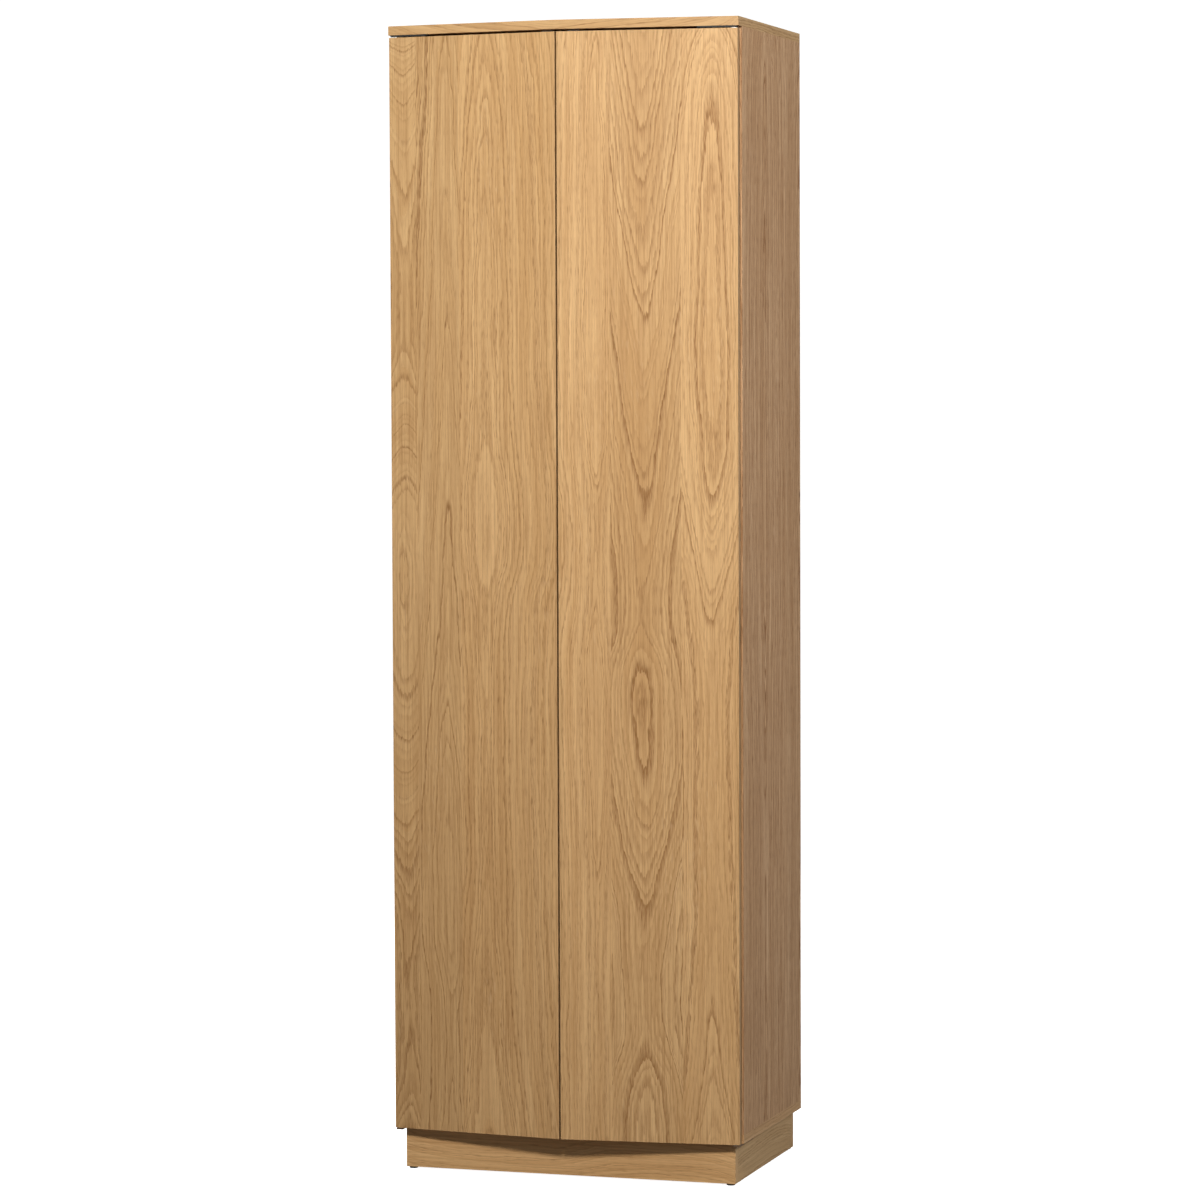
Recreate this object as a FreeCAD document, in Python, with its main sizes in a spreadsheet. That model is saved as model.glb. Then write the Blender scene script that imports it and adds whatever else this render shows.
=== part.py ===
"""Tall two-door pantry cabinet with a shallow V-shaped front.

Frame: millimetres, +Z up, front towards -Y, origin on the floor under the
centre of the bounding box. Each sub-part is one object of the document.
"""
import FreeCAD
import Part
import math
import os
import re

import Sketcher

doc = FreeCAD.newDocument("pantry_cabinet")
V = FreeCAD.Vector
UP = V(0, 0, 1)

# ---------------------------------------------------------------- dimensions
DIMENSIONS = [
    ("width", "600", "overall width"),
    ("depth", "410", "overall depth, rear edge to the apex of the front"),
    ("height", "1900", "overall height"),
    ("prow", "30", "how far the front's apex stands before its ends"),
    ("board", "15", "thickness of the carcass boards"),
    ("carcass_set", "19.5", "carcass front edges behind the top's front edge"),
    ("plinth_high", "70", "floor to the underside of the bottom board"),
    ("plinth_front_set", "18", "plinth face behind the front corner"),
    ("plinth_side_set", "14", "plinth sides inside the carcass sides"),
    ("glide_high", "3", "thickness of a floor glide"),
    ("glide_r", "7", "radius of a floor glide"),
    ("door_thick", "16", "door thickness"),
    ("door_top_gap", "4", "door to the top board"),
    ("door_foot_gap", "1", "door above the bottom board's underside"),
    ("door_reveal", "1.5", "door end inside the cabinet's side"),
    ("seam_gap", "3", "gap between the two doors"),
    ("pivot_in", "7", "pivot axis from the door's outer end"),
    ("pivot_back", "7", "pivot axis behind the door's front face"),
    ("pin_r", "2.5", "pivot pin radius"),
    ("pin_long", "18", "pivot pin length inside its bush"),
    ("bush_r", "4", "pivot bush outside radius"),
    ("bush_bore_r", "2.55", "pivot bush bore radius"),
    ("bush_deep", "20", "pivot bush depth in the door"),
    ("flange_r", "5.5", "pivot bush flange radius"),
    ("flange_thick", "1", "pivot bush flange thickness"),
    ("plate_thick", "2.5", "pivot plate thickness"),
    ("back_thick", "5", "back panel thickness"),
    ("back_inset", "8", "back panel before the rear edges"),
    ("groove_deep", "6", "back panel groove depth"),
    ("panel_play", "0.5", "play of the back panel in its grooves"),
    ("row_front", "37", "front pin row behind the panel's front edge"),
    ("row_rear", "50", "rear pin row before the panel's rear edge"),
    ("row_pitch", "32", "pitch of the pin holes"),
    ("hole_r", "2.5", "pin hole radius"),
    ("hole_deep", "9", "pin hole depth"),
    ("low_row", "115", "lowest hole above the bottom board"),
    ("high_row", "975", "lowest hole of the upper run"),
    ("shelf_level", "892.5", "underside of the fixed shelf above the bottom board"),
    ("shelf_play", "1", "play at each end of a loose shelf"),
    ("shelf_set", "15", "loose shelf behind the carcass front"),
    ("cam_r", "7.5", "cam housing radius"),
    ("cam_deep", "12.5", "cam housing depth"),
    ("cam_from_end", "34", "cam centre from the board's end"),
    ("bolt_r", "3.5", "cam bolt shank radius"),
    ("bolt_hole_r", "4", "cam bolt and dowel hole radius"),
    ("bolt_grip", "11", "cam bolt thread length"),
    ("dowel_deep", "20", "dowel in the panel's end"),
    ("dowel_grip", "10", "dowel in the facing board"),
    ("screw_r", "2", "wood screw radius"),
    ("screw_deep", "12", "wood screw grip in a board"),
]

sheet = doc.addObject("Spreadsheet::Sheet", "dims")
number = {}
for row, (alias, text, note) in enumerate(DIMENSIONS, start=1):
    sheet.set("A%d" % row, alias)
    sheet.set("B%d" % row, text)
    sheet.set("C%d" % row, note)
    sheet.setAlias("B%d" % row, alias)
    number[alias] = float(text)

DERIVED = [
    ("slope", "=prow / (width / 2)"),
    ("cosine", "=1 / sqrt(1 + slope * slope)"),
    ("half", "=width / 2"),
    ("inner", "=width / 2 - board"),
    ("rear", "=depth / 2"),
    ("corner_y", "=prow - depth / 2"),
    ("front_y", "=prow - depth / 2 + carcass_set"),
    ("panel_high", "=height - plinth_high - 2 * board"),
    ("floor_z", "=plinth_high + board"),
    ("roof_z", "=height - board"),
    ("back_y", "=rear - back_inset - back_thick"),
    ("door_front", "=(half - door_reveal - seam_gap / 2) / cosine"),
    ("door_high", "=height - board - door_top_gap - plinth_high - door_foot_gap"),
    ("end_x", "=half - door_reveal"),
    ("pivot_x", "=end_x - (pivot_in + pivot_back * slope) * cosine"),
    ("pivot_y", "=slope * end_x - rear + (pivot_back - pivot_in * slope) * cosine"),
    ("plinth_x", "=half - plinth_side_set"),
    ("plinth_y", "=corner_y + plinth_front_set"),
]
for row, (alias, formula) in enumerate(DERIVED, start=len(DIMENSIONS) + 2):
    sheet.set("A%d" % row, alias)
    sheet.set("B%d" % row, formula)
    sheet.setAlias("B%d" % row, alias)
doc.recompute()
number.update({alias: float(getattr(sheet, alias)) for alias, _ in DERIVED})

SUB_PARTS = []


def bound(text):
    """An expression with every dimension's name pointed at the sheet."""
    return re.sub("[a-z_]+", lambda m: "dims." + m[0] if m[0] in number else m[0], text)


def value(text):
    """The present value of an expression over the sheet."""
    return float(sheet.evalExpression(bound(text)))


def bind(obj, prop, text):
    obj.setExpression(prop, bound(text))


def place(obj, x="0", y="0", z="0", rotation=None):
    """Put an object at a point given by three expressions."""
    obj.Placement = FreeCAD.Placement(V(), rotation or FreeCAD.Rotation())
    for axis, text in zip("xyz", (x, y, z)):
        bind(obj, "Placement.Base." + axis, text)


def sub_part(obj, label):
    obj.Label = label
    SUB_PARTS.append(obj)
    return obj


# ------------------------------------------------------ sketch-based building
def new_body(label, x="0", y="0", z="0", turn=0):
    """A body at a point; turn is +1 or -1 to lie along a half of the V front."""
    body = doc.addObject("PartDesign::Body", label)
    place(body, x, y, z, FreeCAD.Rotation(V(0, 0, turn), 5) if turn else None)
    if turn:
        bind(body, "Placement.Rotation.Angle", "atan(slope)")
    return sub_part(body, label)


def new_sketch(body, plane, offset="0"):
    sketch = body.newObject("Sketcher::SketchObject", body.Name + "_sketch")
    role = plane + "_Plane"
    base = [f for f in body.Origin.OriginFeatures if f.Role == role][0]
    sketch.AttachmentSupport = [(base, "")]
    sketch.MapMode = "FlatFace"
    bind(sketch, "AttachmentOffset.Base.z", offset)
    return sketch


def fix_point(sketch, geometry, vertex, x, y):
    """Hold one point of the sketch at two expressions."""
    for kind, text in (("DistanceX", x), ("DistanceY", y)):
        index = sketch.addConstraint(
            Sketcher.Constraint(kind, -1, 1, geometry, vertex, value(text)))
        sketch.setExpression("Constraints[%d]" % index, bound(text))


def outline(sketch, points):
    """A closed polygon through points given as pairs of expressions."""
    spots = [V(value(x), value(y), 0) for x, y in points]
    first = sketch.GeometryCount
    for i, spot in enumerate(spots):
        sketch.addGeometry(Part.LineSegment(spot, spots[(i + 1) % len(spots)]))
    for i in range(len(spots)):
        after = first + (i + 1) % len(spots)
        sketch.addConstraint(Sketcher.Constraint("Coincident", first + i, 2, after, 1))
    for i, (x, y) in enumerate(points):
        fix_point(sketch, first + i, 1, x, y)


def box_outline(sketch, x0, x1, y0, y1):
    outline(sketch, [(x0, y0), (x1, y0), (x1, y1), (x0, y1)])


def circle(sketch, x, y, radius):
    spot = V(value(x), value(y), 0)
    index = sketch.addGeometry(Part.Circle(spot, UP, value(radius)))
    fix_point(sketch, index, 3, x, y)
    size = sketch.addConstraint(Sketcher.Constraint("Radius", index, value(radius)))
    sketch.setExpression("Constraints[%d]" % size, bound(radius))


def pad(body, sketch, length):
    feature = body.newObject("PartDesign::Pad", body.Name + "_pad")
    feature.Profile = sketch
    bind(feature, "Length", length)
    sketch.Visibility = False
    return feature


def pocket(body, sketch, length, along=False):
    """Cut against the sketch's normal, or along it."""
    feature = body.newObject("PartDesign::Pocket", body.Name + "_pocket")
    feature.Profile = sketch
    feature.Reversed = along
    bind(feature, "Length", length)
    sketch.Visibility = False
    return feature


def holes(body, plane, offset, spots, radius, depth, along=False):
    """Round blind holes from one plane."""
    sketch = new_sketch(body, plane, offset)
    for x, y in spots:
        circle(sketch, x, y, radius)
    return pocket(body, sketch, depth, along)


def pin_hole_run(body, offset, spots, count, along):
    """A row of pin holes repeated upwards."""
    first = holes(body, "YZ", offset, spots, "hole_r", "hole_deep", along)
    run = body.newObject("PartDesign::LinearPattern", body.Name + "_run")
    run.Originals = [first]
    axis = [f for f in body.Origin.OriginFeatures if f.Role == "Z_Axis"][0]
    run.Direction = (axis, [""])
    run.Occurrences = count
    bind(run, "Length", "row_pitch * %d" % (count - 1))
    body.Tip = run
    return run


# ------------------------------------------------------- primitive building
def solid(kind, sizes, x="0", y="0", z="0", rotation=None):
    """A Part primitive with its sizes and place bound to the sheet."""
    obj = doc.addObject("Part::" + kind, kind.lower())
    for prop, text in sizes.items():
        bind(obj, prop, text)
    place(obj, x, y, z, rotation)
    return obj


def cylinder(radius, high, x="0", y="0", z="0", rotation=None):
    return solid("Cylinder", {"Radius": radius, "Height": high}, x, y, z, rotation)


def fuse(shapes):
    obj = doc.addObject("Part::MultiFuse", "fused")
    obj.Shapes = shapes
    return obj


def cut(base, tool):
    obj = doc.addObject("Part::Cut", "cut")
    obj.Base = base
    obj.Tool = tool
    return obj


def group(label, pieces):
    """Several identical separate solids that share one node."""
    obj = doc.addObject("Part::Compound", label)
    obj.Links = pieces
    return sub_part(obj, label)


def at(obj, x, y, z, rotation=None):
    """Move a finished boolean to a point, turning it first."""
    place(obj, x, y, z, rotation)
    return obj


def wood_screw(x, y, z, rotation, grip, head_r="2 * screw_r", head_high="screw_r"):
    """A countersunk screw along +Z whose flat head face is at the point."""
    head = solid("Cone", {"Radius1": head_r, "Radius2": "screw_r", "Height": head_high})
    shank = cylinder("screw_r", grip)
    return at(fuse([head, shank]), x, y, z, rotation)


TO_UP = FreeCAD.Rotation()
TO_DOWN = FreeCAD.Rotation(V(1, 0, 0), 180)
TO_FRONT = FreeCAD.Rotation(V(1, 0, 0), 90)
TO_REAR = FreeCAD.Rotation(V(1, 0, 0), -90)
TO_RIGHT = FreeCAD.Rotation(V(0, 1, 0), 90)
TO_LEFT = FreeCAD.Rotation(V(0, 1, 0), -90)
SIDES = (("left", -1), ("right", 1))
BOLT_ROWS = ("0 - 60", "140")
DOWEL_ROWS = ("0 - 30", "165")


def signed(sign, text):
    """The expression on one side of the centre plane."""
    return "( %s ) * ( %d )" % (text, sign) if sign > 0 else "0 - ( %s )" % text


# ------------------------------------------------------------------- carcass
def v_board(label, level, front):
    """A board whose front edge is a shallow V."""
    body = new_body(label, z=level)
    sketch = new_sketch(body, "XY")
    outline(sketch, [
        ("0 - half", front), ("0", front + " - prow"), ("half", front),
        ("half", "rear"), ("0 - half", "rear")])
    pad(body, sketch, "board")
    return body


def joint_spots(rows):
    """Points over both side panels at the given depths."""
    return [(signed(s, "half - board / 2"), y) for _, s in SIDES for y in rows]


def groove(body, offset, along):
    sketch = new_sketch(body, "XY", offset)
    box_outline(sketch, "0 - inner - groove_deep", "inner + groove_deep",
                "back_y", "back_y + back_thick")
    pocket(body, sketch, "groove_deep", along)


def along_door(x, y):
    """World expressions of a point given in the right-hand door's own frame."""
    return ("pivot_x + (%s) * cosine - (%s) * slope * cosine" % (x, y),
            "pivot_y + (%s) * slope * cosine + (%s) * cosine" % (x, y))


def both_sides(spots):
    """The same points on the right and mirrored to the left."""
    return [(signed(s, x), y) for _, s in SIDES for x, y in spots]


PLATE_SPOTS = [along_door("0 - %d" % d, "0") for d in (12, 32, 52)]
LATCH_AT = "24 - pivot_x / cosine"
LATCH_SCREWS = [along_door(LATCH_AT + " + (%s)" % d, "43") for d in ("0 - 12.5", "12.5")]
BRACKET_X = "15"

top = v_board("top_board", "roof_z", "corner_y")
groove(top, "0", True)
holes(top, "XY", "0", joint_spots(BOLT_ROWS), "bolt_hole_r", "bolt_grip", True)
holes(top, "XY", "0", joint_spots(DOWEL_ROWS), "bolt_hole_r", "dowel_grip", True)
holes(top, "XY", "0", both_sides(PLATE_SPOTS + LATCH_SCREWS), "screw_r", "screw_deep", True)
holes(top, "XY", "0", [(signed(s, BRACKET_X), "back_y - 20") for _, s in SIDES],
      "screw_r", "screw_deep", True)

bottom = v_board("bottom_board", "plinth_high", "front_y")
groove(bottom, "board", False)
holes(bottom, "XY", "board", joint_spots(BOLT_ROWS), "bolt_hole_r", "bolt_grip")
holes(bottom, "XY", "board", joint_spots(DOWEL_ROWS), "bolt_hole_r", "dowel_grip")
STRAP_X = "plinth_x + 6"
STRAP_ROWS = ("front_y + 15", "front_y + 35", "front_y + 55")
holes(bottom, "XY", "0", [(signed(s, STRAP_X), y) for _, s in SIDES for y in STRAP_ROWS],
      "screw_r", "screw_deep", True)
BLOCK = "30"
BLOCK_X = "plinth_x - board - %s / 2" % BLOCK
BLOCK_ROWS = ("plinth_y + board + %s / 2" % BLOCK, "rear - board - %s / 2" % BLOCK)
BLOCK_SPOTS = [(sx, sy, signed(sx, BLOCK_X), BLOCK_ROWS[sy > 0])
               for sx in (-1, 1) for sy in (-1, 1)]
UPRIGHT_SCREWS = [("%s - (%d) * 9" % (x, sx), "%s - (%d) * 9" % (y, sy))
                  for sx, sy, x, y in BLOCK_SPOTS]
holes(bottom, "XY", "0", UPRIGHT_SCREWS, "screw_r", "screw_deep", True)


def side_panel(name, sign):
    body = new_body(name + "_side_panel", z="floor_z")
    sketch = new_sketch(body, "XY")
    box_outline(sketch, signed(sign, "inner"), signed(sign, "half"), "front_y", "rear")
    pad(body, sketch, "panel_high")
    slot = new_sketch(body, "XY")
    box_outline(slot, signed(sign, "inner"), signed(sign, "inner + groove_deep"),
                "back_y", "back_y + back_thick")
    pocket(body, slot, "panel_high", True)
    mid = signed(sign, "half - board / 2")
    face = signed(sign, "inner")
    outwards = sign > 0
    for level, along in (("0", True), ("panel_high", False)):
        holes(body, "XY", level, [(mid, y) for y in BOLT_ROWS],
              "bolt_hole_r", "cam_from_end", along)
        holes(body, "XY", level, [(mid, y) for y in DOWEL_ROWS],
              "bolt_hole_r", "dowel_deep", along)
    holes(body, "YZ", face, [(y, z) for y in BOLT_ROWS
                             for z in ("cam_from_end", "panel_high - cam_from_end")],
          "cam_r", "cam_deep", outwards)
    shelf_mid = "shelf_level + board / 2"
    holes(body, "YZ", face, [(y, shelf_mid) for y in BOLT_ROWS],
          "bolt_hole_r", "bolt_grip", outwards)
    holes(body, "YZ", face, [(y, shelf_mid) for y in DOWEL_ROWS],
          "bolt_hole_r", "dowel_grip", outwards)
    for start, count in (("low_row", 22), ("high_row", 21)):
        pin_hole_run(body, face, [("front_y + row_front", start), ("rear - row_rear", start)],
                     count, outwards)
    return body


for name, sign in SIDES:
    side_panel(name, sign)

back = new_body("back_panel", y="back_y", z="floor_z - groove_deep + panel_play")
sketch = new_sketch(back, "XY")
box_outline(sketch, "0 - inner - groove_deep + panel_play", "inner + groove_deep - panel_play",
            "0", "back_thick")
pad(back, sketch, "panel_high + 2 * groove_deep - 2 * panel_play")
WALL_SCREW_DROP = "22"
holes(back, "XZ", "0", [("0", "panel_high + groove_deep - panel_play - %s" % WALL_SCREW_DROP)],
      "3", "back_thick")

shelf = new_body("fixed_shelf", z="floor_z + shelf_level")
sketch = new_sketch(shelf, "XY")
box_outline(sketch, "0 - inner", "inner", "front_y + 5", "back_y")
pad(shelf, sketch, "board")
holes(shelf, "XY", "0", [(signed(s, "inner - cam_from_end"), y) for _, s in SIDES
                         for y in BOLT_ROWS], "cam_r", "cam_deep", True)
for name, sign in SIDES:
    holes(shelf, "YZ", signed(sign, "inner"), [(y, "board / 2") for y in BOLT_ROWS],
          "bolt_hole_r", "cam_from_end", sign < 0)
    holes(shelf, "YZ", signed(sign, "inner"), [(y, "board / 2") for y in DOWEL_ROWS],
          "bolt_hole_r", "dowel_deep", sign < 0)

SHELF_ROWS = ("low_row + 5 * row_pitch", "low_row + 14 * row_pitch",
              "high_row + 6 * row_pitch", "high_row + 15 * row_pitch")
for index, row in enumerate(SHELF_ROWS, start=1):
    loose = new_body("adjustable_shelf_%d" % index, z="floor_z + %s + hole_r" % row)
    sketch = new_sketch(loose, "XY")
    box_outline(sketch, "shelf_play - inner", "inner - shelf_play",
                "front_y + shelf_set", "back_y - 2")
    pad(loose, sketch, "board")

pins = []
for row in SHELF_ROWS:
    for name, sign in SIDES:
        for y in ("front_y + row_front", "rear - row_rear"):
            level = "floor_z + " + row
            turn = TO_RIGHT if sign > 0 else TO_LEFT
            shank = cylinder("hole_r", "hole_deep + 7", signed(sign, "inner - 8"), y, level, turn)
            collar = cylinder("hole_r + 1.5", "0.8", signed(sign, "inner - 0.8"), y, level, turn)
            pins.append(fuse([shank, collar]))
group("shelf_pins", pins)


# ------------------------------------------------------------ joint fittings
def cam(x, y, z, rotation):
    """A cam with its face at the point; the bolt enters along local -X."""
    drum = cylinder("cam_r", "cam_deep")
    mouth = cylinder("bolt_hole_r", "cam_r + 3", "0 - cam_r", "0", "board / 2", TO_RIGHT)
    slot = solid("Box", {"Length": "9", "Width": "1.6", "Height": "2"}, "0 - 4.5", "0 - 0.8")
    cross = solid("Box", {"Length": "1.6", "Width": "9", "Height": "2"}, "0 - 0.8", "0 - 4.5")
    return at(cut(drum, fuse([mouth, slot, cross])), x, y, z, rotation)


def bolt(x, y, z, rotation):
    """A cam bolt: thread along +Z from the joint face, shank behind it."""
    thread = cylinder("bolt_hole_r", "bolt_grip")
    shank = cylinder("bolt_r", "cam_from_end", z="0 - cam_from_end")
    return at(fuse([thread, shank]), x, y, z, rotation)


def dowel(x, y, z, rotation):
    peg = cylinder("bolt_hole_r", "dowel_deep + dowel_grip")
    place(peg, x, y, z, rotation)
    return peg


cams = []
bolts = []
dowels = []
for name, sign in SIDES:
    mid = signed(sign, "half - board / 2")
    face = signed(sign, "inner")
    for y in BOLT_ROWS:
        for level, up in (("floor_z", -1), ("roof_z", 1)):
            # local +Z of the cam runs into the panel, local -X to the joint
            into = V(sign, 0, 0)
            mouth_way = V(0, 0, up)
            turn = FreeCAD.Rotation(-mouth_way, V(), into, "ZXY")
            cams.append(cam(face, y, "%s + ( %d ) * cam_from_end" % (level, -up), turn))
            bolts.append(bolt(mid, y, level, TO_UP if up > 0 else TO_DOWN))
        turn = FreeCAD.Rotation(V(-sign, 0, 0), V(), V(0, 0, 1), "ZXY")
        cams.append(cam(signed(sign, "inner - cam_from_end"), y, "floor_z + shelf_level", turn))
        bolts.append(bolt(face, y, "floor_z + shelf_level + board / 2",
                          TO_RIGHT if sign > 0 else TO_LEFT))
    for y in DOWEL_ROWS:
        dowels.append(dowel(mid, y, "roof_z - dowel_deep", TO_UP))
        dowels.append(dowel(mid, y, "floor_z + dowel_deep", TO_DOWN))
        dowels.append(dowel(signed(sign, "inner - dowel_deep"), y,
                            "floor_z + shelf_level + board / 2",
                            TO_RIGHT if sign > 0 else TO_LEFT))
group("cam_locks", cams)
group("cam_bolts", bolts)
group("wood_dowels", dowels)


# -------------------------------------------------------------------- plinth
PLINTH_TALL = "plinth_high - glide_high"
GLIDE_X = "plinth_x - 10"


def plinth_cross(label, y, inner_y, inner_along):
    """A full-width plinth board with its glide and block screw holes."""
    body = new_body(label, z="glide_high")
    sketch = new_sketch(body, "XY")
    box_outline(sketch, "0 - plinth_x", "plinth_x", y, y + " + board")
    pad(body, sketch, PLINTH_TALL)
    holes(body, "XY", "0", [(signed(s, GLIDE_X), y + " + board / 2") for _, s in SIDES],
          "1.5", "12", True)
    holes(body, "XZ", "0 - ( %s )" % inner_y, [(signed(s, BLOCK_X), "35 - glide_high")
                                               for _, s in SIDES],
          "screw_r", "10", inner_along)
    return body


plinth_cross("plinth_front", "plinth_y", "plinth_y + board", True)
plinth_cross("plinth_back", "rear - board", "rear - board", False)
for name, sign in SIDES:
    body = new_body("plinth_" + name, z="glide_high")
    sketch = new_sketch(body, "XY")
    box_outline(sketch, signed(sign, "plinth_x - board"), signed(sign, "plinth_x"),
                "plinth_y + board", "rear - board")
    pad(body, sketch, PLINTH_TALL)
    holes(body, "YZ", signed(sign, "plinth_x - board"),
          [(y, "50 - glide_high") for y in BLOCK_ROWS], "screw_r", "10", sign > 0)

blocks = []
block_screws = []
for (sx, sy, x, y), (upright_x, upright_y) in zip(BLOCK_SPOTS, UPRIGHT_SCREWS):
    cube = solid("Box", {"Length": BLOCK, "Width": BLOCK, "Height": "plinth_high - 20"},
                 x + " - %s / 2" % BLOCK, y + " - %s / 2" % BLOCK, "20")
    # the two level screws pass the upright one at different heights
    places = [
        (upright_x, upright_y, "20", TO_UP, "plinth_high - 20 + screw_deep"),
        ("%s - (%d) * 15" % (x, sx), y, "50", TO_RIGHT if sx > 0 else TO_LEFT, BLOCK + " + 10"),
        (x, "%s - (%d) * 15" % (y, sy), "35", TO_REAR if sy > 0 else TO_FRONT, BLOCK + " + 10"),
    ]
    blocks.append(cut(cube, fuse([wood_screw(*spot) for spot in places])))
    block_screws += [wood_screw(*spot) for spot in places]
group("plinth_corner_blocks", blocks)
group("plinth_screws", block_screws)

glides = []
for name, sign in SIDES:
    for y in ("plinth_y + board / 2", "rear - board / 2"):
        disc = cylinder("glide_r", "glide_high", signed(sign, GLIDE_X), y)
        nail = cylinder("1.5", "12", signed(sign, GLIDE_X), y, "glide_high")
        glides.append(fuse([disc, nail]))
group("floor_glides", glides)


# --------------------------------------------------------------------- doors
def door(name, sign):
    """A flat door in its own frame: pivot axis at the origin, outer end +X or -X."""
    body = new_body(name + "_door", signed(sign, "pivot_x"), "pivot_y",
                    "plinth_high + door_foot_gap", turn=sign)
    sketch = new_sketch(body, "XY")
    outer = signed(sign, "pivot_in")
    inner_front = signed(sign, "pivot_in - door_front")
    inner_back = signed(sign, "pivot_in - door_front + door_thick * slope")
    outline(sketch, [(outer, "0 - pivot_back"), (inner_front, "0 - pivot_back"),
                     (inner_back, "door_thick - pivot_back"),
                     (outer, "door_thick - pivot_back")])
    pad(body, sketch, "door_high")
    holes(body, "XY", "0", [("0", "0")], "bush_r", "bush_deep", True)
    holes(body, "XY", "door_high", [("0", "0")], "bush_r", "bush_deep")
    holes(body, "XZ", "pivot_back - door_thick",
          [(signed(sign, LATCH_AT + d), "door_high - 7") for d in (" - 11", " + 11")],
          "screw_r", "8", True)
    return body


for name, sign in SIDES:
    door(name, sign)
    rings = []
    for level, turn in (("plinth_high", TO_UP), ("roof_z - door_top_gap + flange_thick", TO_DOWN)):
        sleeve = cylinder("bush_r", "bush_deep + flange_thick")
        flange = cylinder("flange_r", "flange_thick")
        bore = cylinder("bush_bore_r", "bush_deep + flange_thick")
        rings.append(at(cut(fuse([sleeve, flange]), bore),
                        signed(sign, "pivot_x"), "pivot_y", level, turn))
    group(name + "_pivot_bushes", rings)

    # the upper plate lies along the door under the overhanging top board
    plate = new_body(name + "_top_pivot_plate", signed(sign, "pivot_x"), "pivot_y",
                     "roof_z - plate_thick", turn=sign)
    sketch = new_sketch(plate, "XY")
    box_outline(sketch, signed(sign, "5"), signed(sign, "0 - 60"), "0 - 6", "6")
    pad(plate, sketch, "plate_thick")
    holes(plate, "XY", "0", [("0", "0")], "pin_r", "plate_thick", True)
    holes(plate, "XY", "0", [(signed(sign, "0 - %d" % d), "0") for d in (12, 32, 52)],
          "2 * screw_r", "plate_thick", True)

    # the lower plate is a strap beside the plinth
    strap = new_body(name + "_bottom_pivot_plate", z="plinth_high - plate_thick")
    sketch = new_sketch(strap, "XY")
    box_outline(sketch, signed(sign, "plinth_x + 0.5"), signed(sign, "plinth_x + 11.5"),
                "corner_y + 0.7", "front_y + 65")
    pad(strap, sketch, "plate_thick")
    holes(strap, "XY", "0", [(signed(sign, "pivot_x"), "pivot_y")], "pin_r", "plate_thick", True)
    holes(strap, "XY", "0", [(signed(sign, STRAP_X), y) for y in STRAP_ROWS],
          "2 * screw_r", "plate_thick", True)

    group(name + "_pivot_pins", [
        cylinder("pin_r", "pin_long + plate_thick + flange_thick", signed(sign, "pivot_x"),
                 "pivot_y", "plinth_high - plate_thick", TO_UP),
        cylinder("pin_r", "pin_long + plate_thick + flange_thick", signed(sign, "pivot_x"),
                 "pivot_y", "roof_z", TO_DOWN)])

plate_screws = []
for name, sign in SIDES:
    for x, y in PLATE_SPOTS:
        plate_screws.append(wood_screw(
            signed(sign, x), y, "roof_z - plate_thick", TO_UP, "plate_thick + screw_deep",
            head_high="plate_thick"))
    for y in STRAP_ROWS:
        plate_screws.append(wood_screw(
            signed(sign, STRAP_X), y, "plinth_high - plate_thick", TO_UP,
            "plate_thick + screw_deep", head_high="plate_thick"))
group("pivot_plate_screws", plate_screws)


# ------------------------------------------------------- latches and bracket
LATCH_Z = "roof_z - 11"
DOOR_BACK = "door_thick - pivot_back"
LATCH_FRONT = DOOR_BACK + " + 5"

latch_screws = []
strike_screws = []
for name, sign in SIDES:
    turned = dict(x=signed(sign, "pivot_x"), y="pivot_y", turn=sign)

    housing = new_body(name + "_latch_housing", z="roof_z - 22", **turned)
    sketch = new_sketch(housing, "XY")
    box_outline(sketch, signed(sign, LATCH_AT + " - 9"), signed(sign, LATCH_AT + " + 9"),
                LATCH_FRONT, LATCH_FRONT + " + 58")
    pad(housing, sketch, "22")
    sketch = new_sketch(housing, "XY", "19")
    box_outline(sketch, signed(sign, LATCH_AT + " - 17"), signed(sign, LATCH_AT + " + 17"),
                "34", "52")
    pad(housing, sketch, "3")
    holes(housing, "XZ", "0 - (%s)" % LATCH_FRONT, [(signed(sign, LATCH_AT), "11")],
          "4.05", "50")
    holes(housing, "XY", "19",
          [(signed(sign, LATCH_AT + d), "43") for d in (" - 12.5", " + 12.5")], "4", "3", True)

    plunger = new_body(name + "_latch_plunger", z=LATCH_Z, **turned)
    sketch = new_sketch(plunger, "XZ", "0 - (%s) - 1.8" % DOOR_BACK)
    circle(sketch, signed(sign, LATCH_AT), "0", "4")
    pad(plunger, sketch, "48").Reversed = True

    strike = new_body(name + "_strike_plate", z=LATCH_Z + " - 6", **turned)
    sketch = new_sketch(strike, "XY")
    box_outline(sketch, signed(sign, LATCH_AT + " - 16"), signed(sign, LATCH_AT + " + 16"),
                DOOR_BACK, DOOR_BACK + " + 1.5")
    pad(strike, sketch, "12")
    holes(strike, "XZ", "0 - (%s)" % DOOR_BACK,
          [(signed(sign, LATCH_AT + d), "6") for d in (" - 11", " + 11")], "4", "1.5")

    for x, y in LATCH_SCREWS:
        latch_screws.append(wood_screw(signed(sign, x), y, "roof_z - 3", TO_UP,
                                       "3 + screw_deep", head_high="3"))
    slant = FreeCAD.Rotation(UP, math.degrees(math.atan(number["slope"])) * sign)
    group(name + "_strike_screws", [
        wood_screw(signed(sign, x), y, LATCH_Z, slant * TO_FRONT, "9.5", head_high="1.5")
        for x, y in [along_door(LATCH_AT + d, DOOR_BACK + " + 1.5") for d in (" - 11", " + 11")]])
group("latch_screws", latch_screws)

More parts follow.
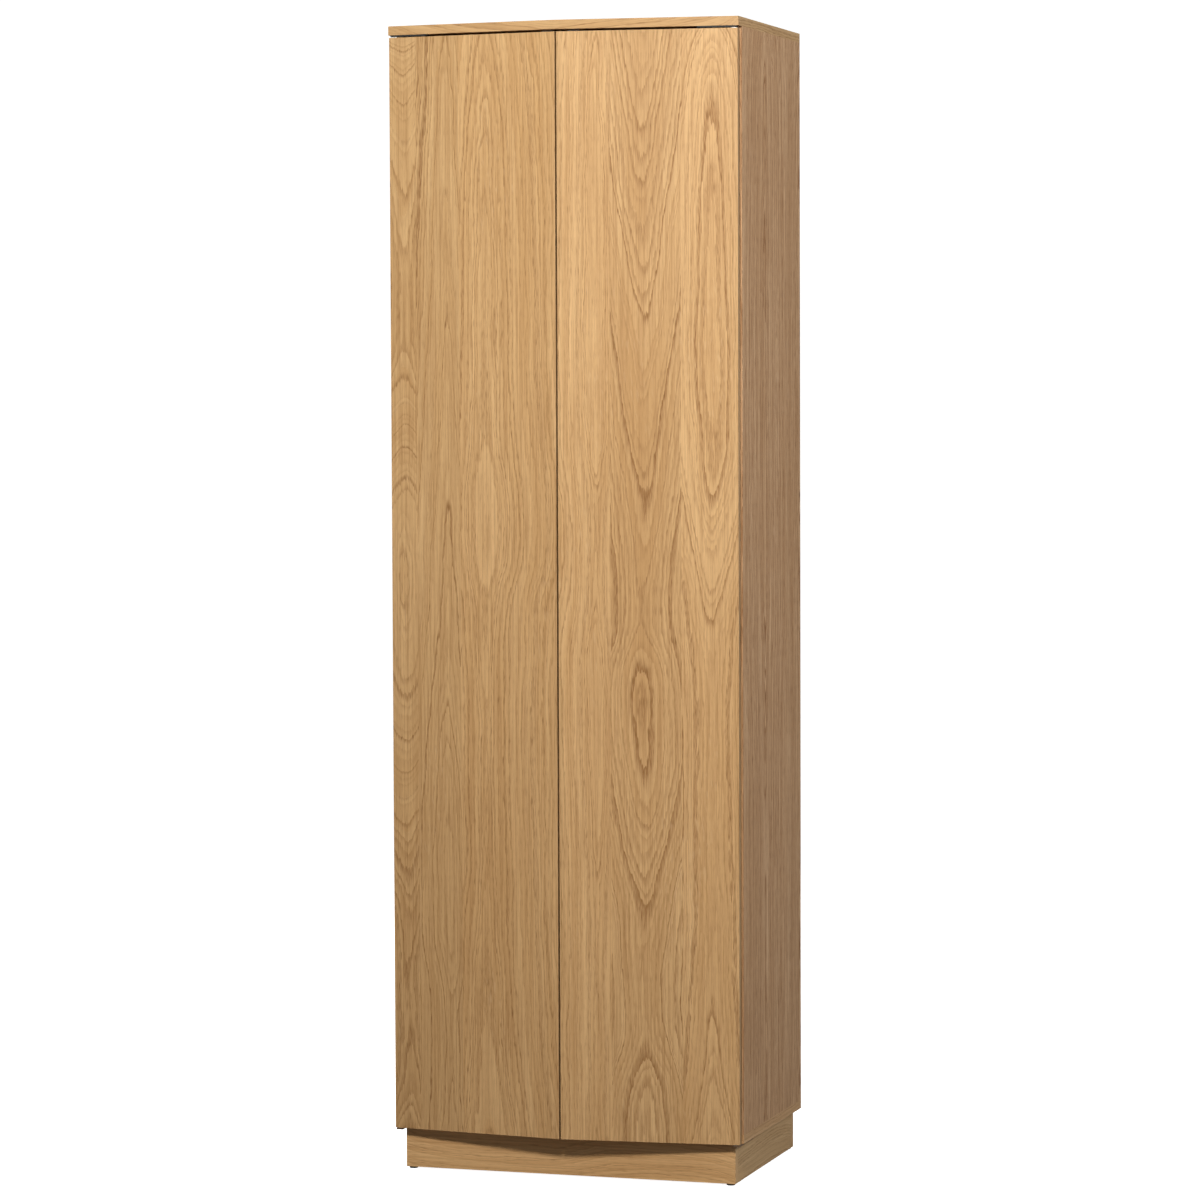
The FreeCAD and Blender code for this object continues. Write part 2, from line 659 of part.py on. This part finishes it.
bracket = new_body("anti_tip_bracket")
sketch = new_sketch(bracket, "YZ", "0 - 25")
outline(sketch, [("back_y", "roof_z"), ("back_y - 32", "roof_z"), ("back_y - 32", "roof_z - 2"),
                 ("back_y - 2", "roof_z - 2"), ("back_y - 2", "roof_z - 42"),
                 ("back_y", "roof_z - 42")])
pad(bracket, sketch, "50")
holes(bracket, "XZ", "0 - back_y", [("0", "roof_z - %s" % WALL_SCREW_DROP)], "2.75", "2", True)
holes(bracket, "XY", "roof_z - 2", [(signed(s, BRACKET_X), "back_y - 20") for _, s in SIDES],
      "2 * screw_r", "2", True)
group("anti_tip_screws", [
    wood_screw(signed(s, BRACKET_X), "back_y - 20", "roof_z - 2", TO_UP, "2 + screw_deep")
    for _, s in SIDES])


# -------------------------------------------------------------------- export
def check_and_export():
    """Stop on any failed object or bad shape, then write one file per node."""
    doc.recompute()
    for obj in doc.Objects:
        if "Invalid" in obj.State or "Error" in obj.State:
            raise RuntimeError("%s failed: %s" % (obj.Name, obj.State))
    for obj in SUB_PARTS:
        if obj.Shape.isNull() or not obj.Shape.isValid() or not obj.Shape.Solids:
            raise RuntimeError("bad shape: " + obj.Label)
    os.makedirs("parts", exist_ok=True)
    for obj in SUB_PARTS:
        obj.Shape.exportStep("parts/%s.step" % obj.Label)
        box = obj.Shape.BoundBox
        print("%-26s %2d solids %12.1f mm3  x %.1f..%.1f y %.1f..%.1f z %.1f..%.1f" % (
            obj.Label, len(obj.Shape.Solids), obj.Shape.Volume,
            box.XMin, box.XMax, box.YMin, box.YMax, box.ZMin, box.ZMax))


check_and_export()
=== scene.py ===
import bpy, bmesh, math
from collections import namedtuple
from mathutils import Matrix, Vector

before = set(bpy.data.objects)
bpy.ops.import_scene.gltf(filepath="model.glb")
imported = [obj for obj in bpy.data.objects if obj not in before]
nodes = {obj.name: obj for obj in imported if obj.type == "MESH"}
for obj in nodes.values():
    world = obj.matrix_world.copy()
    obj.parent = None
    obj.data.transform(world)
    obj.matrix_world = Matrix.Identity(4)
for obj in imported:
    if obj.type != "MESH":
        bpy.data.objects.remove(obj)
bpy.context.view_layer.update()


# ------------------------------------------------------------ node helpers
class Graph:
    """Short calls for building one material's nodes."""

    def __init__(self, name):
        self.mat = bpy.data.materials.new(name)
        self.mat.use_nodes = True
        self.tree = self.mat.node_tree
        self.tree.nodes.clear()
        self.out = self.tree.nodes.new("ShaderNodeOutputMaterial")
        self.shader = self.tree.nodes.new("ShaderNodeBsdfPrincipled")
        self.tree.links.new(self.shader.outputs[0], self.out.inputs[0])

    def node(self, kind, **sets):
        n = self.tree.nodes.new("ShaderNode" + kind)
        for key, val in sets.items():
            setattr(n, key, val)
        return n

    def put(self, socket, val):
        if isinstance(val, bpy.types.NodeSocket):
            self.tree.links.new(val, socket)
        elif hasattr(socket.default_value, "__len__"):
            val = tuple(val) if hasattr(val, "__len__") else (val,) * len(socket.default_value)
            size = len(socket.default_value)
            socket.default_value = (val + (1.0,))[:size] if len(val) < size else val[:size]
        else:
            socket.default_value = val

    def math(self, op, a, b=0.0):
        n = self.node("Math", operation=op)
        for socket, val in zip(n.inputs, (a, b)):
            self.put(socket, val)
        return n.outputs[0]

    def add(self, a, b):
        return self.math("ADD", a, b)

    def sub(self, a, b):
        return self.math("SUBTRACT", a, b)

    def mul(self, a, b):
        return self.math("MULTIPLY", a, b)

    def vec(self, x, y, z):
        n = self.node("CombineXYZ")
        for socket, val in zip(n.inputs, (x, y, z)):
            self.put(socket, val)
        return n.outputs[0]

    def noise(self, vec, scale=1.0, detail=2.0, rough=0.5):
        n = self.node("TexNoise")
        sets = {"Vector": vec, "Scale": scale, "Detail": detail, "Roughness": rough}
        for key, val in sets.items():
            self.put(n.inputs[key], val)
        return n.outputs["Fac"]

    def centred(self, vec, detail=2.0):
        """Noise about zero, from about -1 to 1."""
        return self.mul(self.sub(self.noise(vec, 1.0, detail), 0.5), 2.0)

    def chance(self, val):
        n = self.node("TexWhiteNoise", noise_dimensions="1D")
        self.put(n.inputs["W"], val)
        return n.outputs["Value"]

    def range(self, val, a, b, c=0.0, d=1.0, smooth=True):
        n = self.node("MapRange", interpolation_type="SMOOTHSTEP" if smooth else "LINEAR")
        sets = {"Value": val, "From Min": a, "From Max": b, "To Min": c, "To Max": d}
        for key, v in sets.items():
            self.put(n.inputs[key], v)
        return n.outputs["Result"]

    def mix(self, fac, a, b, blend="MIX"):
        n = self.node("Mix", data_type="RGBA", blend_type=blend)
        self.put(n.inputs["Factor"], fac)
        self.put(n.inputs["A"], a)
        self.put(n.inputs["B"], b)
        return n.outputs["Result"]

    def blend(self, fac, a, b):
        n = self.node("Mix", data_type="FLOAT")
        self.put(n.inputs["Factor"], fac)
        self.put(n.inputs["A"], a)
        self.put(n.inputs["B"], b)
        return n.outputs["Result"]

    def xyz(self):
        n = self.node("SeparateXYZ")
        self.tree.links.new(self.node("TexCoord").outputs["Object"], n.inputs[0])
        return n.outputs[0], n.outputs[1], n.outputs[2]

    def finish(self, color, rough=0.5, metal=0.0, bump=None, depth=0.0002, strength=0.4, **extra):
        s = self.shader.inputs
        self.put(s["Base Color"], color)
        self.put(s["Roughness"], rough)
        self.put(s["Metallic"], metal)
        for key, val in extra.items():
            self.put(s[key.replace("_", " ")], val)
        if bump is not None:
            b = self.node("Bump")
            self.put(b.inputs["Strength"], strength)
            self.put(b.inputs["Distance"], depth)
            self.put(b.inputs["Height"], bump)
            self.tree.links.new(b.outputs[0], s["Normal"])
        return self.mat


# --------------------------------------------------------------- oak veneer
PALE = (0.750, 0.480, 0.235)
MID = (0.590, 0.345, 0.150)
STREAK = (0.440, 0.236, 0.096)
EARLY = (0.320, 0.155, 0.056)
PORE = (0.200, 0.092, 0.032)
RAY = (0.70, 0.46, 0.25)

# show faces, in metres from the origin
HALF_WIDTH = 0.3
APEX = 0.205            # front edge of the V, on the centre line
SLOPE = 0.1             # how fast the V falls back towards each side
HEIGHT = 1.9
PLINTH_FRONT = 0.157
PLINTH_SIDE_FACE = 0.286

LEVELS = 3.5            # runs of veneer per metre of a stack
LEVEL_SHIFT = 0.03      # how far each run is moved along the grain
WHOLE = -9.0            # start of a first leaf, well outside the board

# start: where the leaf begins across the grain; centre: its centre line;
# pith: depth of the cut; pitch: rings per metre; profile: see leaf_rings
Leaf = namedtuple("Leaf", "start centre pith pitch profile seed tone bold")


def door_face(g, x, y, z):
    return g.sub(g.add(y, APEX), g.mul(g.math("ABSOLUTE", x), SLOPE))


def side_face(g, x, y, z):
    return g.sub(HALF_WIDTH, g.math("ABSOLUTE", x))


def top_face(g, x, y, z):
    return g.sub(HEIGHT, z)


def plinth_face(g, x, y, z):
    return g.add(y, PLINTH_FRONT)


def plinth_side_face(g, x, y, z):
    return g.sub(PLINTH_SIDE_FACE, g.math("ABSOLUTE", x))


def leaf_rings(g, a, l, leaf):
    """Growth-ring coordinate of one plain-sliced leaf: arches about a centre line.

    The profile gives how far, in rings, the cut has sunk at each point along the
    leaf: arches point up where it rises, down where it falls, and close to an
    oval at its low points.
    """
    profile, seed = leaf.profile, leaf.seed
    wander = g.mul(g.centred(g.vec(seed, 0.0, g.mul(l, 2.0)), 2.0), 0.012)
    wobble = g.mul(g.centred(g.vec(g.mul(a, 16.0), seed, g.mul(l, 6.0)), 3.0), 0.0065)
    jitter = g.mul(g.centred(g.vec(g.mul(a, 70.0), seed + 2.0, g.mul(l, 18.0)), 2.0), 0.0018)
    u = g.add(g.add(g.sub(a, leaf.centre), wander), g.add(wobble, jitter))
    radius = g.math("SQRT", g.add(g.mul(u, u), leaf.pith * leaf.pith))
    low, high = min(v for _, v in profile), max(v for _, v in profile)
    first, last = profile[0][0], profile[-1][0]
    curve = g.node("FloatCurve")
    points = curve.mapping.curves[0].points
    while len(points) < len(profile):
        points.new(0.5, 0.5)
    for point, (at, rings) in zip(points, profile):
        point.location = ((at - first) / (last - first), (rings - low) / (high - low))
    curve.mapping.update()
    g.put(curve.inputs["Factor"], 1.0)
    g.put(curve.inputs["Value"], g.range(l, first, last, smooth=False))
    sunk = g.mul(curve.outputs[0], high - low)
    ripple = g.centred(g.vec(g.mul(a, 26.0), seed + 4.0, g.mul(l, 7.0)), 3.0)
    feather = g.mul(g.centred(g.vec(g.mul(a, 420.0), seed + 6.0, g.mul(l, 24.0)), 2.0), 0.42)
    whole = g.add(g.add(g.mul(radius, leaf.pitch), sunk), ripple)
    uneven = g.mul(g.centred(g.vec(g.mul(whole, 0.36), seed, 0.0), 1.0), 2.0)
    return g.add(g.add(whole, uneven), feather)


def oak(name, across, along, leaves, face=None, tint=(1.0, 1.0, 1.0), value=1.0, contrast=1.0,
        gloss=0.3, edge_band_and_shade=None):
    """Oak veneer; across and along pick the axes of the grain.

    face gives the depth below the show face from x, y and z, so that the grain
    runs on round the edges; without it each level of a stack has its own run.
    The last argument gives the axis that the edge band faces, its tone and, where
    its grain turns, the axes across and along it. The tone darkens those edges: on
    the doors it is painted shade as well as the band's own colour.
    """
    g = Graph(name)
    xyz = g.xyz()
    if face:
        a, l = g.add(xyz[across], face(g, *xyz)), xyz[along]
    else:
        level = g.mul(xyz[3 - across - along], LEVELS)
        a = g.add(xyz[across], g.mul(g.math("FRACT", level), 1 / LEVELS))
        l = g.add(xyz[along], g.mul(g.math("FLOOR", level), LEVEL_SHIFT))
    if edge_band_and_shade:
        n = g.node("SeparateXYZ")
        g.tree.links.new(g.node("TexCoord").outputs["Normal"], n.inputs[0])
        # mask of the edge faces: where the band's grain turns, and where the tone paints shade on
        # the doors' edges
        band_and_shade_mask = g.range(g.math("ABSOLUTE", n.outputs[edge_band_and_shade[0]]), 0.75, 0.95)
    if edge_band_and_shade and len(edge_band_and_shade) > 2:
        a = g.blend(band_and_shade_mask, a, xyz[edge_band_and_shade[2]])
        l = g.blend(band_and_shade_mask, l, xyz[edge_band_and_shade[3]])

    rings = None
    for leaf in leaves:
        r = leaf_rings(g, a, l, leaf)
        if rings is None:
            rings, which, tone, bold = r, leaf.seed, leaf.tone, leaf.bold
        else:
            inside = g.math("GREATER_THAN", a, leaf.start)
            rings = g.blend(inside, rings, r)
            which = g.blend(inside, which, leaf.seed)
            tone = g.blend(inside, tone, leaf.tone)
            bold = g.blend(inside, bold, leaf.bold)
    part = g.math("FRACT", rings)
    ring = g.chance(g.add(g.math("FLOOR", rings), which))
    band = g.chance(g.add(g.math("FLOOR", rings), g.add(which, 0.5)))
    strength = g.range(g.mul(ring, ring), 0.0, 1.0, 0.20, 1.0, smooth=False)
    early = g.mul(g.mul(g.range(part, 0.0, 0.10), g.range(part, 0.72, 0.12)), strength)
    # fine lengthwise fibre and open pores that follow the grain
    fibre = g.noise(g.vec(g.mul(a, 480.0), g.mul(l, 6.0), 1.0), 1.0, 3.0, 0.62)
    streak = g.noise(g.vec(g.mul(a, 150.0), g.mul(l, 2.0), 5.0), 1.0, 3.0, 0.6)
    pores = g.noise(g.vec(g.mul(a, 1300.0), g.mul(l, 60.0), 2.0), 1.0, 1.0, 0.5)
    dash = g.mul(g.range(pores, 0.53, 0.66), g.range(early, 0.05, 0.7, 0.28, 1.0))
    early = g.mul(g.mul(early, g.range(pores, 0.38, 0.56, 0.55, 1.0)), bold)
    broad = g.noise(g.vec(g.mul(a, 11.0), g.mul(l, 1.3), 7.0), 1.0, 2.0)
    # pale flecks of ray cells, short and slanting, in patches
    fleck = g.noise(g.vec(g.mul(g.add(a, g.mul(l, 0.10)), 230.0), g.mul(l, 36.0), 11.0), 1.0, 1.0)
    patch = g.range(g.noise(g.vec(g.mul(a, 13.0), g.mul(l, 2.6), 13.0), 1.0, 1.0), 0.50, 0.70)
    ray = g.mul(g.range(fleck, 0.58, 0.72), patch)

    col = g.mix(g.add(g.range(broad, 0.25, 0.75, 0.0, 0.60), g.mul(band, 0.45)), PALE, MID)
    col = g.mix(g.mul(early, contrast), col, EARLY)
    col = g.mix(g.mul(g.range(streak, 0.36, 0.64), 0.30 * contrast), col, STREAK)
    col = g.mix(g.mul(g.range(fibre, 0.44, 0.68), 0.42 * contrast), col, EARLY)
    col = g.mix(g.mul(dash, 0.55 * contrast), col, PORE)
    col = g.mix(g.mul(ray, 0.32), col, RAY)
    shade = g.mul(tone, value)
    # darkens the edge faces by the band's tone; on the doors this is painted shade as well as the
    # edge band's own colour
    if edge_band_and_shade:
        shade = g.mul(shade, g.blend(band_and_shade_mask, 1.0, edge_band_and_shade[1]))
    col = g.mix(1.0, col, g.vec(*[g.mul(shade, t) for t in tint]), "MULTIPLY")
    height = g.sub(g.sub(1.0, g.mul(dash, 0.8)), g.mul(fibre, 0.25))
    rough = g.range(early, 0.0, 1.0, 0.42, 0.54)
    return g.finish(col, rough, 0.0, height, 0.00025, 0.35, Specular_IOR_Level=gloss)


# Doors, this one and the next: the 0.72 tone on the edges that face the sides is painted shade, as
# on the side panels, over the edge band's own colour.
FRONT_RIGHT = oak("oak_right_door", 0, 2, [
    Leaf(WHOLE, 0.064, 0.005, 165.0,
         [(0.0, 0.0), (0.35, 2.0), (0.8, 0.0), (1.05, 2.2), (1.30, -0.5), (1.9, 3.0)],
         3.0, 1.0, 0.7),
    Leaf(0.088, 0.142, 0.016, 150.0,
         [(0.0, 1.0), (0.14, 2.0), (0.30, 6.0), (0.80, -3.2), (0.94, 0.3), (1.02, -0.5),
          (1.25, -5.0), (1.9, -19.0)], 24.0, 0.96, 1.35),
    Leaf(0.205, 0.256, 0.012, 160.0,
         [(0.0, -13.0), (0.73, 3.0), (1.337, -8.0), (1.9, 4.0)], 34.0, 1.02, 1.1)],
    door_face, value=1.0, gloss=0.13, edge_band_and_shade=(0, 0.72))
FRONT_LEFT = oak("oak_left_door", 0, 2, [
    Leaf(WHOLE, -0.274, 0.012, 110.0,
         [(0.0, 0.0), (0.30, 9.0), (1.02, -14.0), (1.42, 4.0), (1.9, -26.0)], 41.0, 0.96, 0.8),
    Leaf(-0.252, -0.197, 0.007, 170.0,
         [(0.0, -4.0), (0.26, 0.0), (0.42, -2.5), (0.9, 3.0), (1.9, 13.0)], 52.0, 0.95, 1.0),
    Leaf(-0.174, -0.128, 0.011, 135.0,
         [(0.0, -5.0), (0.36, 0.5), (0.60, 1.5), (0.93, 0.8), (1.067, -1.8), (1.25, 0.0),
          (1.60, 1.0), (1.9, 4.5)], 66.0, 1.03, 0.7)],
    door_face, value=0.99, gloss=0.13, edge_band_and_shade=(0, 0.72))
PLAIN = [(-0.3, 0.0), (0.2, 3.0), (0.8, 0.0), (1.3, 4.0), (1.9, 0.0)]
# Side panels: the lower value and the cool blue tint are painted shade, darkening the sides as
# faces turned from the light; the stronger grain contrast is the veneer's own.
SIDE = oak("oak_side_painted_shade", 1, 2, [
    Leaf(WHOLE, -0.02, 0.010, 190.0,
         [(0.0, -5.0), (0.5, 0.0), (1.1, -4.0), (1.9, 3.0)], 71.0, 1.0, 1.3),
    Leaf(0.115, 0.20, 0.012, 185.0,
         [(0.0, -6.0), (0.8, 1.0), (1.3, -3.0), (1.9, 3.0)], 78.0, 0.97, 1.2),
    Leaf(0.320, 0.40, 0.010, 200.0, PLAIN, 85.0, 1.02, 1.2)],
    side_face, (1.0, 0.99, 1.13), value=0.94, contrast=1.8, gloss=0.12)
TOP = oak("oak_top", 1, 0, [
    Leaf(WHOLE, -0.12, 0.02, 170.0, [(-0.3, 0.0), (0.0, 4.0), (0.3, -1.0)], 91.0, 1.0, 1.0),
    Leaf(-0.03, 0.06, 0.02, 170.0, [(-0.3, 3.0), (0.1, 0.0), (0.3, 2.0)], 95.0, 1.0, 1.0)],
    top_face, value=0.93, contrast=0.8, gloss=0.15, edge_band_and_shade=(0, 0.88, 2, 1))
BOTTOM = oak("oak_bottom", 1, 0, [
    Leaf(WHOLE, -0.10, 0.02, 170.0, [(-0.3, 0.0), (0.0, 4.0), (0.3, -1.0)], 99.0, 1.0, 1.0)],
    top_face, (1.0, 0.97, 1.0), value=0.86, contrast=0.8, gloss=0.15, edge_band_and_shade=(0, 1.0, 2, 1))
SHELF = oak("oak_shelf", 1, 0, [
    Leaf(WHOLE, -0.02, 0.02, 170.0,
         [(-0.3, 0.0), (0.0, 4.0), (0.3, -1.0), (0.6, 3.0)], 101.0, 1.0, 1.0),
    Leaf(0.12, 0.21, 0.016, 170.0,
         [(-0.3, 3.0), (0.1, 0.0), (0.3, 4.0), (0.6, 0.0)], 106.0, 1.0, 1.0)])
PLINTH = oak("oak_plinth_front", 2, 0, [
    Leaf(WHOLE, -0.115, 0.010, 190.0,
         [(-0.3, -2.0), (-0.05, 2.0), (0.10, -2.0), (0.3, 4.0)], 111.0, 1.0, 1.0)],
    plinth_face, value=1.18, contrast=0.8, gloss=0.15, edge_band_and_shade=(0, 0.8, 1, 2))
PLINTH_SIDE = oak("oak_plinth_side", 2, 1, [
    Leaf(WHOLE, 0.30, 0.010, 190.0, [(-0.2, 0.0), (0.0, 3.0), (0.2, 0.0)], 121.0, 1.0, 1.0)],
    plinth_side_face, value=0.84, contrast=0.7, gloss=0.12)


# ---------------------------------------------------------- other materials
def metal(name, color, rough, scratch=0.12):
    g = Graph(name)
    x, y, z = g.xyz()
    fine = g.noise(g.vec(g.mul(x, 900.0), g.mul(y, 900.0), g.mul(z, 900.0)), 1.0, 3.0)
    cloud = g.noise(g.vec(g.mul(x, 60.0), g.mul(y, 60.0), g.mul(z, 60.0)), 1.0, 2.0)
    col = g.mix(g.range(cloud, 0.3, 0.7, 0.0, 0.25), color, [c * 0.8 for c in color])
    return g.finish(col, g.range(fine, 0.3, 0.7, rough, rough + scratch), 1.0, fine, 0.00004, 0.25)


def plastic(name, color, rough):
    g = Graph(name)
    x, y, z = g.xyz()
    grain = g.noise(g.vec(g.mul(x, 1500.0), g.mul(y, 1500.0), g.mul(z, 1500.0)), 1.0, 2.0)
    cloud = g.noise(g.vec(g.mul(x, 25.0), g.mul(y, 25.0), g.mul(z, 25.0)), 1.0, 2.0)
    col = g.mix(g.range(cloud, 0.3, 0.7, 0.0, 0.2), color, [c * 0.88 for c in color])
    return g.finish(col, g.range(grain, 0.3, 0.7, rough, rough + 0.08), 0.0, grain, 0.00004, 0.3)


ZINC = metal("zinc_plate", (0.62, 0.63, 0.65), 0.28)
CAST = metal("cast_zinc", (0.50, 0.50, 0.51), 0.42)
BLACK = plastic("black_coat", (0.022, 0.021, 0.020), 0.65)
BRONZE = plastic("bronze_coat", (0.150, 0.088, 0.046), 0.60)
GREY = plastic("grey_plastic", (0.42, 0.43, 0.44), 0.45)
DARK = plastic("dark_plastic", (0.030, 0.030, 0.030), 0.5)
NYLON = plastic("white_nylon", (0.78, 0.77, 0.74), 0.42)
PINE = oak("pine_block", 0, 2, [Leaf(WHOLE, 0.0, 0.05, 160.0, PLAIN, 131.0, 1.0, 1.0)],
           tint=(1.15, 1.2, 1.3), contrast=0.5)
BEECH = oak("beech_dowel", 0, 2, [Leaf(WHOLE, 0.0, 0.05, 160.0, PLAIN, 141.0, 1.0, 1.0)],
            tint=(1.1, 1.12, 1.2), contrast=0.4)
BACK = oak("back_sheet", 0, 2, [
    Leaf(WHOLE, 0.01, 0.016, 165.0,
         [(0.0, 0.0), (0.7, 5.0), (1.2, 1.0), (1.9, 8.0)], 151.0, 1.0, 1.0),
    Leaf(0.12, 0.21, 0.012, 165.0,
         [(0.0, 4.0), (0.6, -2.0), (1.3, 4.0), (1.9, -3.0)], 158.0, 0.98, 1.0),
    Leaf(0.31, 0.40, 0.014, 170.0, [(0.0, 2.0), (0.9, 7.0), (1.9, -2.0)], 163.0, 1.01, 1.0)],
    value=0.95, contrast=0.7)

LOOKS = {
    "left_door": FRONT_LEFT, "right_door": FRONT_RIGHT,
    "left_side_panel": SIDE, "right_side_panel": SIDE,
    "top_board": TOP, "bottom_board": BOTTOM, "fixed_shelf": SHELF, "back_panel": BACK,
    "plinth_front": PLINTH, "plinth_back": PLINTH,
    "plinth_left": PLINTH_SIDE, "plinth_right": PLINTH_SIDE,
    "plinth_corner_blocks": PINE, "wood_dowels": BEECH, "floor_glides": DARK, "cam_locks": CAST,
}
NAME_LOOKS = (("adjustable_shelf", SHELF), ("latch_housing", GREY), ("latch_plunger", GREY),
              ("pivot_bushes", NYLON), ("top_pivot_plate", BLACK), ("bottom_pivot_plate", BRONZE))
for name, obj in nodes.items():
    look = LOOKS.get(name) or next((m for words, m in NAME_LOOKS if words in name), ZINC)
    obj.data.materials.clear()
    obj.data.materials.append(look)


def soften(obj, width, segments=3):
    """Joins the faces of a CAD mesh and rounds its sharp edges."""
    weld = obj.modifiers.new("weld", "WELD")
    weld.merge_threshold = 0.00001
    flat = obj.modifiers.new("flat_faces", "DECIMATE")
    flat.decimate_type = "DISSOLVE"
    flat.angle_limit = math.radians(0.5)
    bevel = obj.modifiers.new("bevel", "BEVEL")
    bevel.width = width
    bevel.segments = segments
    bevel.limit_method = "ANGLE"
    bevel.angle_limit = math.radians(40)
    bevel.harden_normals = True
    bevel.use_clamp_overlap = True
    even = obj.modifiers.new("even_normals", "WEIGHTED_NORMAL")
    even.mode = "FACE_AREA"
    even.weight = 80


SHOW_BOARDS = ("left_door", "right_door", "top_board", "bottom_board")
for name, obj in nodes.items():
    fixing = name.endswith(("_pins", "_screws"))
    if name in SHOW_BOARDS:
        soften(obj, 0.0008)
    elif not fixing and ("panel" in name or "shelf" in name or name.startswith("plinth_")):
        soften(obj, 0.0005)
    else:
        soften(obj, 0.00025, 2)


# ------------------------------------------------------------------- studio
def studio_floor():
    """A round floor of white paper that curves up into a wall all the way round."""
    radius, bend, high, turns = 11.0, 2.5, 12.0, 72
    rows = [(radius - bend + bend * math.sin(t), bend - bend * math.cos(t))
            for t in [math.pi / 2 * i / 12 for i in range(13)]] + [(radius, high)]
    mesh = bpy.data.meshes.new("studio_floor")
    bm = bmesh.new()
    angles = [2 * math.pi * k / turns for k in range(turns)]
    rings = [[bm.verts.new((r * math.cos(t), r * math.sin(t), z)) for t in angles] for r, z in rows]
    bm.faces.new(rings[0])
    for low, up in zip(rings, rings[1:]):
        for k in range(turns):
            bm.faces.new((low[k - 1], low[k], up[k], up[k - 1])).smooth = True
    bm.to_mesh(mesh)
    bm.free()
    floor = bpy.data.objects.new("studio_floor", mesh)
    bpy.context.scene.collection.objects.link(floor)
    g = Graph("studio_paper")
    x, y, z = g.xyz()
    cloud = g.noise(g.vec(x, y, z), 0.8, 2.0)
    mesh.materials.append(g.finish(g.mix(cloud, (0.80, 0.80, 0.80), (0.84, 0.84, 0.84)), 0.9,
                                   Emission_Color=(1.0, 1.0, 1.0), Emission_Strength=0.90))
    floor.visible_diffuse = False
    floor.visible_glossy = False


def area(name, place, aim, size, power, color):
    data = bpy.data.lights.new(name, "AREA")
    data.shape = "RECTANGLE"
    data.size, data.size_y = size
    data.energy = power
    data.color = color
    lamp = bpy.data.objects.new(name, data)
    lamp.location = place
    lamp.rotation_euler = (Vector(aim) - Vector(place)).to_track_quat("-Z", "Y").to_euler()
    lamp.visible_camera = False
    bpy.context.scene.collection.objects.link(lamp)


SENSOR, LENS = 36.0, 128.2749               # mm
EYE = (2.18229, -6.82512, 1.31096)          # m
TURN = (-17.676, 2.9016, -0.2144)           # yaw, pitch and roll in degrees


def camera():
    yaw, pitch, roll = (math.radians(v) for v in TURN)
    ahead = Vector((math.sin(yaw), math.cos(yaw), 0.0))
    right = Vector((math.cos(yaw), -math.sin(yaw), 0.0))
    up = Vector((0.0, 0.0, 1.0))
    look = ahead * math.cos(pitch) - up * math.sin(pitch)
    over = ahead * math.sin(pitch) + up * math.cos(pitch)
    side = right * math.cos(roll) + over * math.sin(roll)
    over = -right * math.sin(roll) + over * math.cos(roll)
    data = bpy.data.cameras.new("camera")
    data.sensor_width = SENSOR
    data.lens = LENS
    data.clip_end = 100.0
    cam = bpy.data.objects.new("camera", data)
    turn = Matrix((side, over, -look)).transposed().to_4x4()
    cam.matrix_world = Matrix.Translation(EYE) @ turn
    bpy.context.scene.collection.objects.link(cam)
    bpy.context.scene.camera = cam


studio_floor()
area("key", (0.65, -3.0, 2.35), (0.0, 0.0, 1.3), (0.35, 0.4), 81.0, (1.0, 0.95, 0.88))
area("top_soft", (-0.9, -1.8, 3.1), (0.0, -0.2, 1.8), (1.8, 0.6), 19.0, (0.70, 0.90, 1.0))
area("fill_right", (3.6, -0.45, 2.3), (0.0, 0.1, 1.3), (1.2, 1.2), 97.0, (0.80, 0.88, 0.98))
area("left_soft", (-3.4, 1.0, 2.3), (0.0, 0.1, 1.2), (1.6, 1.6), 80.0, (0.92, 0.96, 1.0))
area("rear_soft", (-0.8, 3.6, 2.5), (0.0, 0.2, 1.1), (1.8, 1.4), 95.0, (1.0, 0.97, 0.93))
world = bpy.data.worlds.new("studio")
world.use_nodes = True
world.node_tree.nodes["Background"].inputs[0].default_value = (1.0, 0.97, 0.94, 1.0)
world.node_tree.nodes["Background"].inputs[1].default_value = 0.135
bpy.context.scene.world = world
bpy.context.scene.view_settings.view_transform = "Standard"
camera()
